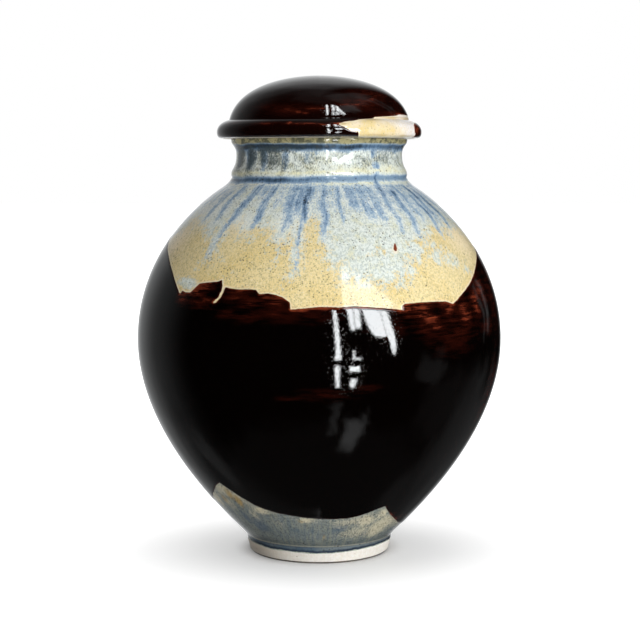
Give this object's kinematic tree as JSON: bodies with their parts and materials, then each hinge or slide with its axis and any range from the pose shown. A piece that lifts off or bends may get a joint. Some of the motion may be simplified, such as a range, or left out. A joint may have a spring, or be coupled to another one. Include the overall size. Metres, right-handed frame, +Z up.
{
  "type": "lidded jar",
  "caption": "Round-bellied thrown stoneware jar on a turned foot, with a beaded hollow collar and a domed cap lid that rests on the flat rim and is centred by a ring inside the mouth.",
  "frame": {"origin": "centre of the foot, on the plane that the jar stands on", "axes": "+Z up along the jar's axis, from the foot to the crown of the lid; -Y is the side seen in the picture"},
  "size_m": [0.214, 0.214, 0.2796],
  "materials": {
    "pot_glaze": "glossy dark brown pour over a pale speckled blue and cream ash glaze, bare clay foot",
    "lid_glaze": "glossy dark brown breaking to red-brown, with a cream glazed wedge at the flange"
  },
  "bodies": {
    "pot": {"pot": "pot_glaze"},
    "lid": {"lid": "lid_glaze"}
  },
  "joints": [
    {"name": "lid_lift", "type": "slide", "parent": "pot", "child": "lid", "axis": [0, 0, 1], "range_m": [0, 0.12]}
  ]
}
